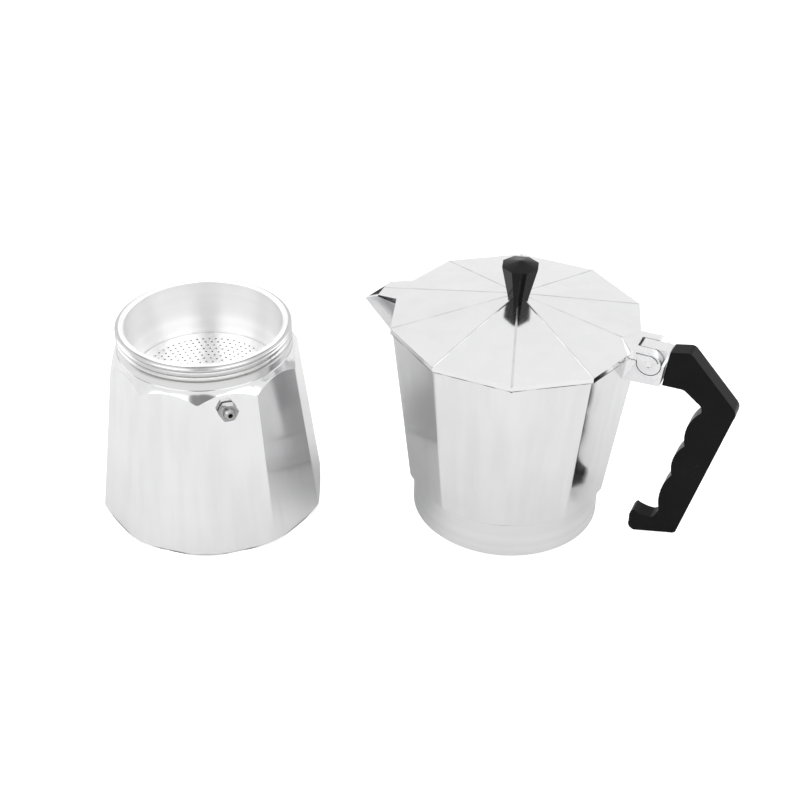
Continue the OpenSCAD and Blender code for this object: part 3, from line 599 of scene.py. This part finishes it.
# Where two faces of the lid meet there is a low bead, raised over a narrow strip
def raiseRidges(piece, values):
    width, lift = values["ridge"], values["lift"]
    bm = bmesh.new()
    bm.from_mesh(piece.data)
    ridges = [edge for edge in bm.edges if len(edge.link_faces) == 2
              and all(face.normal.z > ridgeShape["leastRise"] for face in edge.link_faces)
              and edge.calc_face_angle() > math.radians(ridgeShape["leastAngle"])]
    lines = [(edge.verts[0].co.copy(), edge.verts[1].co.copy()) for edge in ridges]
    made = bmesh.ops.bevel(bm, geom=ridges, offset=width, segments=ridgeShape["segments"], profile=0.5,
                           affect="EDGES", material=-1)
    for face in made["faces"]:
        face.material_index = values["looks"].index("ridge")
    for vertex in made["verts"]:
        away = min((vertex.co - intersect_point_line(vertex.co, *line)[0]).length for line in lines)
        vertex.co.z += lift * 0.5 * (1 + math.cos(math.pi * min(1, away / width)))
    bm.to_mesh(piece.data)
    bm.free()
    print("ridges raised:", len(ridges))


# The long upright edges between the ten faces are softer than the rest
def isArris(edge):
    along = edge.verts[1].co - edge.verts[0].co
    if len(edge.link_faces) != 2 or along.length <= arrisShape["leastLength"]:
        return False
    if abs(along.normalized().z) <= arrisShape["leastRise"]:
        return False
    return arrisShape["leastAngle"] < math.degrees(edge.calc_face_angle_signed()) < arrisShape["mostAngle"]


def roundArrises(piece, values):
    bm = bmesh.new()
    bm.from_mesh(piece.data)
    arrises = [edge for edge in bm.edges if isArris(edge)]
    bmesh.ops.bevel(bm, geom=arrises, offset=values["arris"], segments=arrisShape["segments"], profile=0.5,
                    affect="EDGES", material=-1)
    bm.to_mesh(piece.data)
    bm.free()
    print("arrises rounded:", piece.name, len(arrises))


# The pierced discs and the spring stay as they are in the frame, and only take a finish
def dressNode(name, values):
    materials = nodes[name].data.materials
    materials.clear()
    materials.append(looks[values["looks"][0]])


for name, values in pieces.items():
    if not values["round"]:
        dressNode(name, values)
        continue
    piece = copyNode(name)
    if "arris" in values:
        roundArrises(piece, values)
    if "ridge" in values:
        raiseRidges(piece, values)
    finishPiece(piece, name, values)
    print("piece made:", piece.name)


# Where a cast piece changes its finish, in metres
borderValues = {
    "collarRise": 0.0025,  # the jug's turned collar ends this far above the gasket
    "neckDepth": 0.0147,  # the boiler's turned neck, down from its top
    "boreRadius": 0.05,  # inside this radius the boiler is turned too
    "grooveTop": 0.0008, "grooveInner": 0.0505, "grooveOuter": 0.0522,
    "lugStart": 0.0722, "spoutStart": 0.0725, "armStart": 0.0745,  # out from the jug's axis
}
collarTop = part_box("gasket")[1].z + borderValues["collarRise"]
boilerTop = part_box("boiler")[1].z
neckFoot = boilerTop - borderValues["neckDepth"]
jugCentre = Vector((*jugAxis, 0))
towardsHandle = (Vector((*middleOf("handle"), 0)) - jugCentre).normalized()


def handleSide(point):
    return (point - jugCentre).dot(towardsHandle)


def isTurnedNeck(centre, normal):
    return centre.z > neckFoot or centre.xy.length < borderValues["boreRadius"]


def isThreadGroove(centre, normal):
    onNeck = neckFoot < centre.z < boilerTop - borderValues["grooveTop"]
    deep = borderValues["grooveInner"] < centre.xy.length < borderValues["grooveOuter"]
    return onNeck and deep and centre.xy.dot(normal.xy) > 0


def isCollar(centre, normal):
    return centre.z < collarTop


def isLugOrSpout(centre, normal):
    return handleSide(centre) > borderValues["lugStart"] or -handleSide(centre) > borderValues["spoutStart"]


def isLidArm(centre, normal):
    return handleSide(centre) > borderValues["armStart"]


def paintWhere(name, look, test):
    index = pieces[name]["looks"].index(look)
    for face in bpy.data.objects[name + "_shell"].data.polygons:
        if test(face.center, face.normal):
            face.material_index = index


paintWhere("boiler", "neck", isTurnedNeck)
# The thread groove floors take the painted shade
paintWhere("boiler", "groove", isThreadGroove)
paintWhere("jug", "jugCollar", isCollar)
paintWhere("jug", "cast", isLugOrSpout)
paintWhere("lid", "cast", isLidArm)
print("finishes changed on boiler, jug and lid")


floorValues = {
    "size": 6.0, "drop": 0.0002, "colour": (0.71, 0.71, 0.71), "roughness": 0.6, "lift": 0.55,
    "shade": (0.44, 0.44, 0.44), "shadeAt": (0.112, 0.01, 0.0), "shadeCore": 0.02, "shadeEdge": 0.075,
}


def makeFloor():
    bm = bmesh.new()
    bmesh.ops.create_grid(bm, x_segments=1, y_segments=1, size=floorValues["size"])
    mesh = bpy.data.meshes.new("floor")
    bm.to_mesh(mesh)
    bm.free()
    floor = bpy.data.objects.new("floor", mesh)
    bpy.context.scene.collection.objects.link(floor)
    floor.location.z = cadBox[0][2] - floorValues["drop"]
    material, tree, shader, vector = startMaterial("paleFloor")
    shader.inputs["Roughness"].default_value = floorValues["roughness"]
    shader.inputs["Emission Color"].default_value = (1, 1, 1, 1)
    path = tree.nodes.new("ShaderNodeLightPath")
    glow = addMath(tree, "MULTIPLY", path.outputs["Is Camera Ray"], floorValues["lift"])
    # Painted shade: the metal reflects a darker patch of floor between the halves, standing in for the
    # shade there, which the camera doesn't see
    away = tree.nodes.new("ShaderNodeVectorMath")
    away.operation = "DISTANCE"
    tree.links.new(vector, away.inputs[0])
    away.inputs[1].default_value = floorValues["shadeAt"]
    lit = addRange(tree, away.outputs["Value"], floorValues["shadeCore"], floorValues["shadeEdge"],
                   0.0, 1.0, True)
    pale = addMath(tree, "MAXIMUM", lit, path.outputs["Is Camera Ray"])
    tree.links.new(addTwoTone(tree, pale, floorValues["shade"], floorValues["colour"]),
                   shader.inputs["Base Color"])
    tree.links.new(glow, shader.inputs["Emission Strength"])
    mesh.materials.append(material)


# The room as the metal sees it: an even white tent, with soft panels and dark gaps, in degrees
roomValues = {
    "base": 1.0,
    "patches": [
        {"azimuth": 0, "elevation": 90, "core": 20, "edge": 33, "level": 1.8},
        {"azimuth": -45, "elevation": 38, "core": 16, "edge": 27, "level": 2.4},
        {"azimuth": -129, "elevation": 38, "core": 16, "edge": 27, "level": 2.4},
        {"azimuth": 30, "elevation": 28, "core": 12, "edge": 22, "level": 1.9},
        {"azimuth": 152, "elevation": 28, "core": 12, "edge": 22, "level": 1.9},
        {"azimuth": -87, "elevation": 51, "core": 7, "edge": 14, "level": 0.34},
        {"azimuth": -87, "elevation": 35, "core": 9, "edge": 16, "level": 0.28},
    ],
}


def directionOf(azimuth, elevation):
    turn, tilt = math.radians(azimuth), math.radians(elevation)
    return math.cos(turn) * math.cos(tilt), math.sin(turn) * math.cos(tilt), math.sin(tilt)


def makeWorld():
    world = bpy.data.worlds.new("studio")
    bpy.context.scene.world = world
    world.use_nodes = True
    tree = world.node_tree
    coords = tree.nodes.new("ShaderNodeTexCoord")
    strength = roomValues["base"]
    for patch in roomValues["patches"]:
        facing = tree.nodes.new("ShaderNodeVectorMath")
        facing.operation = "DOT_PRODUCT"
        tree.links.new(coords.outputs["Generated"], facing.inputs[0])
        facing.inputs[1].default_value = directionOf(patch["azimuth"], patch["elevation"])
        inside = addRange(tree, facing.outputs["Value"], math.cos(math.radians(patch["edge"])),
                          math.cos(math.radians(patch["core"])), 0.0, 1.0, True)
        strength = addRange(tree, inside, 0.0, 1.0, strength, patch["level"])
    path = tree.nodes.new("ShaderNodeLightPath")
    seen = addRange(tree, path.outputs["Is Camera Ray"], 0.0, 1.0, strength, 1.0)
    background = tree.nodes["Background"]
    background.inputs["Color"].default_value = (1, 1, 1, 1)
    tree.links.new(seen, background.inputs["Strength"])


# Metres and degrees, and the lens in millimetres
cameraValues = {
    "target": (0.1145, 0.1057, 0.0), "distance": 1.0298, "elevation": 34.33, "turn": 1.753,
    "lens": 66.3, "sensor": 36, "roll": 1.06,
}


def makeCamera():
    target = Vector(cameraValues["target"])
    elevation = math.radians(cameraValues["elevation"])
    turn = math.radians(cameraValues["turn"])
    flat = Vector((math.sin(turn), -math.cos(turn), 0)) * math.cos(elevation)
    away = flat + Vector((0, 0, math.sin(elevation)))
    data = bpy.data.cameras.new("camera")
    data.lens = cameraValues["lens"]
    data.sensor_width = cameraValues["sensor"]
    camera = bpy.data.objects.new("camera", data)
    camera.location = target + away * cameraValues["distance"]
    camera.rotation_euler = (-away).to_track_quat("-Z", "Y").to_euler()
    camera.rotation_euler.rotate_axis("Z", math.radians(cameraValues["roll"]))
    bpy.context.scene.collection.objects.link(camera)
    bpy.context.scene.camera = camera


makeFloor()
makeWorld()
makeCamera()
bpy.context.scene.view_settings.view_transform = "Standard"
print("stage set")
